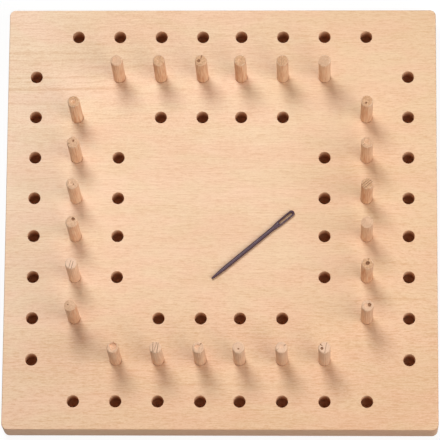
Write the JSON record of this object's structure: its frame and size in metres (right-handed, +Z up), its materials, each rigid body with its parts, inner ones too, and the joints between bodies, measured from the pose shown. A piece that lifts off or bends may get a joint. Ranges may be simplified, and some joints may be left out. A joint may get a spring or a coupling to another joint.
{
  "type": "pegboard square loom",
  "caption": "Square beech board drilled with concentric squares of peg sockets, loose dowel pegs in the middle square, and a blunt long-eyed needle.",
  "frame": {"origin": "middle of the board's underside, on the surface that the loom lies on", "axes": "+Z up through the board, +Y to the north side, which is the top of the picture, +X to the east side"},
  "size_m": [0.288, 0.288, 0.063],
  "materials": {
    "board_wood": "fine-sanded bare beech",
    "peg_wood": "bare beech dowel",
    "needle_plastic": "satin moulded plastic"
  },
  "bodies": {
    "board": {"board": "board_wood"},
    "peg_north_1": {"peg_north_1": "peg_wood"},
    "peg_north_2": {"peg_north_2": "peg_wood"},
    "peg_north_3": {"peg_north_3": "peg_wood"},
    "peg_north_4": {"peg_north_4": "peg_wood"},
    "peg_north_5": {"peg_north_5": "peg_wood"},
    "peg_north_6": {"peg_north_6": "peg_wood"},
    "peg_east_1": {"peg_east_1": "peg_wood"},
    "peg_east_2": {"peg_east_2": "peg_wood"},
    "peg_east_3": {"peg_east_3": "peg_wood"},
    "peg_east_4": {"peg_east_4": "peg_wood"},
    "peg_east_5": {"peg_east_5": "peg_wood"},
    "peg_east_6": {"peg_east_6": "peg_wood"},
    "peg_south_1": {"peg_south_1": "peg_wood"},
    "peg_south_2": {"peg_south_2": "peg_wood"},
    "peg_south_3": {"peg_south_3": "peg_wood"},
    "peg_south_4": {"peg_south_4": "peg_wood"},
    "peg_south_5": {"peg_south_5": "peg_wood"},
    "peg_south_6": {"peg_south_6": "peg_wood"},
    "peg_west_1": {"peg_west_1": "peg_wood"},
    "peg_west_2": {"peg_west_2": "peg_wood"},
    "peg_west_3": {"peg_west_3": "peg_wood"},
    "peg_west_4": {"peg_west_4": "peg_wood"},
    "peg_west_5": {"peg_west_5": "peg_wood"},
    "peg_west_6": {"peg_west_6": "peg_wood"},
    "needle": {"needle": "needle_plastic"}
  },
  "joints": [
    {"name": "peg_north_1_lift", "type": "slide", "parent": "board", "child": "peg_north_1", "axis": [0, 0, 1], "range_m": [0, 0.02]},
    {"name": "peg_north_2_lift", "type": "slide", "parent": "board", "child": "peg_north_2", "axis": [0, 0, 1], "range_m": [0, 0.02]},
    {"name": "peg_north_3_lift", "type": "slide", "parent": "board", "child": "peg_north_3", "axis": [0, 0, 1], "range_m": [0, 0.02]},
    {"name": "peg_north_4_lift", "type": "slide", "parent": "board", "child": "peg_north_4", "axis": [0, 0, 1], "range_m": [0, 0.02]},
    {"name": "peg_north_5_lift", "type": "slide", "parent": "board", "child": "peg_north_5", "axis": [0, 0, 1], "range_m": [0, 0.02]},
    {"name": "peg_north_6_lift", "type": "slide", "parent": "board", "child": "peg_north_6", "axis": [0, 0, 1], "range_m": [0, 0.02]},
    {"name": "peg_east_1_lift", "type": "slide", "parent": "board", "child": "peg_east_1", "axis": [0, 0, 1], "range_m": [0, 0.02]},
    {"name": "peg_east_2_lift", "type": "slide", "parent": "board", "child": "peg_east_2", "axis": [0, 0, 1], "range_m": [0, 0.02]},
    {"name": "peg_east_3_lift", "type": "slide", "parent": "board", "child": "peg_east_3", "axis": [0, 0, 1], "range_m": [0, 0.02]},
    {"name": "peg_east_4_lift", "type": "slide", "parent": "board", "child": "peg_east_4", "axis": [0, 0, 1], "range_m": [0, 0.02]},
    {"name": "peg_east_5_lift", "type": "slide", "parent": "board", "child": "peg_east_5", "axis": [0, 0, 1], "range_m": [0, 0.02]},
    {"name": "peg_east_6_lift", "type": "slide", "parent": "board", "child": "peg_east_6", "axis": [0, 0, 1], "range_m": [0, 0.02]},
    {"name": "peg_south_1_lift", "type": "slide", "parent": "board", "child": "peg_south_1", "axis": [0, 0, 1], "range_m": [0, 0.02]},
    {"name": "peg_south_2_lift", "type": "slide", "parent": "board", "child": "peg_south_2", "axis": [0, 0, 1], "range_m": [0, 0.02]},
    {"name": "peg_south_3_lift", "type": "slide", "parent": "board", "child": "peg_south_3", "axis": [0, 0, 1], "range_m": [0, 0.02]},
    {"name": "peg_south_4_lift", "type": "slide", "parent": "board", "child": "peg_south_4", "axis": [0, 0, 1], "range_m": [0, 0.02]},
    {"name": "peg_south_5_lift", "type": "slide", "parent": "board", "child": "peg_south_5", "axis": [0, 0, 1], "range_m": [0, 0.02]},
    {"name": "peg_south_6_lift", "type": "slide", "parent": "board", "child": "peg_south_6", "axis": [0, 0, 1], "range_m": [0, 0.02]},
    {"name": "peg_west_1_lift", "type": "slide", "parent": "board", "child": "peg_west_1", "axis": [0, 0, 1], "range_m": [0, 0.02]},
    {"name": "peg_west_2_lift", "type": "slide", "parent": "board", "child": "peg_west_2", "axis": [0, 0, 1], "range_m": [0, 0.02]},
    {"name": "peg_west_3_lift", "type": "slide", "parent": "board", "child": "peg_west_3", "axis": [0, 0, 1], "range_m": [0, 0.02]},
    {"name": "peg_west_4_lift", "type": "slide", "parent": "board", "child": "peg_west_4", "axis": [0, 0, 1], "range_m": [0, 0.02]},
    {"name": "peg_west_5_lift", "type": "slide", "parent": "board", "child": "peg_west_5", "axis": [0, 0, 1], "range_m": [0, 0.02]},
    {"name": "peg_west_6_lift", "type": "slide", "parent": "board", "child": "peg_west_6", "axis": [0, 0, 1], "range_m": [0, 0.02]},
    {"name": "needle_lift", "type": "slide", "parent": "board", "child": "needle", "axis": [0, 0, 1], "range_m": [0, 0.045]}
  ]
}
